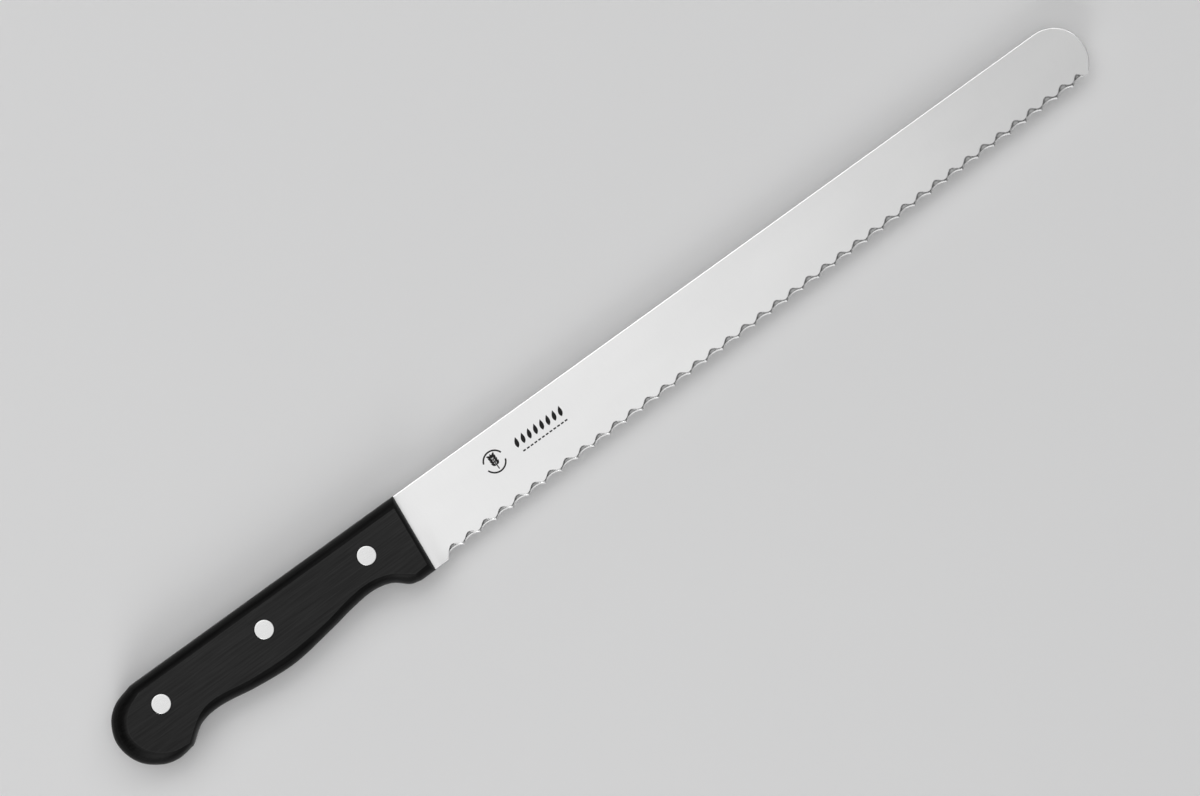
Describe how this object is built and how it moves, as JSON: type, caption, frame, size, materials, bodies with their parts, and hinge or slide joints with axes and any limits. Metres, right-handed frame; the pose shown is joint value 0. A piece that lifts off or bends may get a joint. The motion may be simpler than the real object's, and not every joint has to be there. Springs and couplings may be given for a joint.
{
  "type": "bread knife",
  "caption": "Long bread knife with a round-ended blade, a scalloped cutting edge and a full tang between black contoured wood scales held by flush rivets.",
  "frame": {"origin": "centre of the bounding box in X and Y, on the underside of the left handle scale, which is the surface the knife lies on", "axes": "+X towards the tip, +Y towards the spine, +Z out of the right side of the blade, which faces up"},
  "size_m": [0.4262, 0.0308, 0.0182],
  "materials": {
    "blade_steel": "fine satin, almost matt, with a thin dark etched mark near the handle",
    "handle_wood": "black resin-filled laminated wood, satin, with a faint lengthwise grain",
    "rivet_steel": "ground flush with the handle, satin"
  },
  "bodies": {
    "root": {"blade": "blade_steel", "right_scale": "handle_wood", "left_scale": "handle_wood", "front_rivet_pin": "rivet_steel", "front_rivet_tube": "rivet_steel", "middle_rivet_pin": "rivet_steel", "middle_rivet_tube": "rivet_steel", "rear_rivet_pin": "rivet_steel", "rear_rivet_tube": "rivet_steel"}
  },
  "joints": []
}
